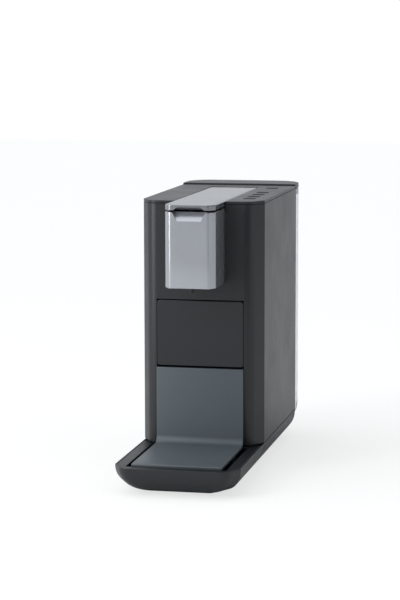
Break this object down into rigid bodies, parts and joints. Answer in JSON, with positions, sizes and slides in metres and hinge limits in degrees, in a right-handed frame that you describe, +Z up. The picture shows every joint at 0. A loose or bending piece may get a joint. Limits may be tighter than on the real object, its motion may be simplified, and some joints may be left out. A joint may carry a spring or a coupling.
{
  "type": "pod coffee machine",
  "caption": "Slim pod coffee machine with lever-closed brew head, pod bin, drip tray with cup stand, top buttons and a clear lift-off water tank at the back.",
  "frame": {"origin": "on the table, under the middle of the machine's outer box", "axes": "+X to the machine's right seen from the front, +Y from the cup side to the water tank, +Z up"},
  "size_m": [0.136, 0.407, 0.3025],
  "materials": {
    "body_grey": "fine matt moulded plastic",
    "dark_plastic": "matt black moulded plastic",
    "silver": "satin silver lacquer",
    "stand_grey": "matt grey powder coat",
    "clear_tank": "clear moulded plastic",
    "collar_grey": "smooth tinted plastic",
    "soft_rubber": "soft rubber",
    "steel": "plain steel",
    "heater_alloy": "cast aluminium",
    "pump_coil_plastic": "moulded coil cover",
    "brass": "turned brass",
    "hose_silicone": "translucent silicone",
    "meter_plastic": "white moulded plastic",
    "board_green": "circuit board lacquer",
    "cutout_ceramic": "fired ceramic"
  },
  "bodies": {
    "machine": {"base_pan": "body_grey", "brew_chamber": "dark_plastic", "brew_head_shell": "silver", "brew_hose": "hose_silicone", "brew_unit_frame": "dark_plastic", "button_board": "board_green", "case_screws": "steel", "chamber_seal": "soft_rubber", "chassis_shelf": "dark_plastic", "coffee_spout": "dark_plastic", "cord_gland": "dark_plastic", "dock_seal": "soft_rubber", "flow_meter": "meter_plastic", "front_fascia": "body_grey", "head_top_plate": "dark_plastic", "head_underside": "dark_plastic", "inlet_hose": "hose_silicone", "left_side_panel": "body_grey", "lower_front_wall": "dark_plastic", "main_board": "board_green", "meter_hose": "hose_silicone", "piercing_needle": "steel", "pod_chute": "dark_plastic", "pressure_hose": "hose_silicone", "pump_body": "brass", "pump_brackets": "steel", "pump_coil": "pump_coil_plastic", "pump_dampers": "soft_rubber", "rear_wall": "dark_plastic", "right_side_panel": "body_grey", "rubber_feet": "soft_rubber", "tank_dock": "dark_plastic", "thermal_cutouts": "cutout_ceramic", "thermoblock": "heater_alloy", "top_cover": "body_grey"},
    "lever": {"lever_cover": "silver", "lever_frame": "dark_plastic", "lever_hinge_shaft": "steel", "lever_cranks": "steel"},
    "clamp": {"yoke_rods": "steel", "clamp_plate": "dark_plastic", "clamp_gasket": "soft_rubber"},
    "pod_bin": {"pod_bin": "dark_plastic", "bin_door": "body_grey"},
    "drip_tray": {"drip_tray_shell": "body_grey", "drip_tray_rim": "body_grey", "tray_feet": "soft_rubber"},
    "cup_stand": {"cup_stand": "stand_grey"},
    "tank": {"water_tank": "clear_tank", "tank_collar": "collar_grey", "tank_valve_housing": "meter_plastic", "tank_filter": "meter_plastic"},
    "tank_lid": {"tank_lid": "body_grey", "lid_hinge_pin": "steel"},
    "tank_valve": {"valve_plunger": "meter_plastic"},
    "selection_button_1": {"selection_button_1": "dark_plastic"},
    "selection_button_2": {"selection_button_2": "dark_plastic"},
    "selection_button_3": {"selection_button_3": "dark_plastic"},
    "selection_button_4": {"selection_button_4": "dark_plastic"},
    "power_button": {"power_button": "dark_plastic"}
  },
  "joints": [
    {"name": "lever_hinge", "type": "hinge", "parent": "machine", "child": "lever", "pos_m": [0, 0.115, 0.29], "axis": [-1, 0, 0], "range_deg": [0, 70]},
    {"name": "clamp_slide", "type": "slide", "parent": "machine", "child": "clamp", "axis": [0, -1, 0], "range_m": [0, 0.023]},
    {"name": "bin_slide", "type": "slide", "parent": "machine", "child": "pod_bin", "axis": [0, -1, 0], "range_m": [0, 0.12]},
    {"name": "tray_slide", "type": "slide", "parent": "machine", "child": "drip_tray", "axis": [0, -1, 0], "range_m": [0, 0.15]},
    {"name": "stand_lift", "type": "slide", "parent": "drip_tray", "child": "cup_stand", "axis": [0, 0, 1], "range_m": [0, 0.085]},
    {"name": "tank_lift", "type": "slide", "parent": "machine", "child": "tank", "axis": [0, 0, 1], "range_m": [0, 0.3]},
    {"name": "lid_hinge", "type": "hinge", "parent": "tank", "child": "tank_lid", "pos_m": [0, 0.202, 0.299], "axis": [-1, 0, 0], "range_deg": [0, 90]},
    {"name": "tank_valve_slide", "type": "slide", "parent": "tank", "child": "tank_valve", "axis": [0, 0, -1], "range_m": [0, 0.003]},
    {"name": "selection_button_1_press", "type": "slide", "parent": "machine", "child": "selection_button_1", "axis": [0, 0, -1], "range_m": [0, 0.0008], "stiffness_N_per_m": 900},
    {"name": "selection_button_2_press", "type": "slide", "parent": "machine", "child": "selection_button_2", "axis": [0, 0, -1], "range_m": [0, 0.0008], "stiffness_N_per_m": 900},
    {"name": "selection_button_3_press", "type": "slide", "parent": "machine", "child": "selection_button_3", "axis": [0, 0, -1], "range_m": [0, 0.0008], "stiffness_N_per_m": 900},
    {"name": "selection_button_4_press", "type": "slide", "parent": "machine", "child": "selection_button_4", "axis": [0, 0, -1], "range_m": [0, 0.0008], "stiffness_N_per_m": 900},
    {"name": "power_button_press", "type": "slide", "parent": "machine", "child": "power_button", "axis": [0, 0, -1], "range_m": [0, 0.0008], "stiffness_N_per_m": 900}
  ],
  "couplings": [
    {"joint": "clamp_slide", "follows": "lever_hinge", "m_per_rad": 0.01877},
    {"joint": "tank_valve_slide", "follows": "tank_lift", "ratio": 0.01}
  ]
}
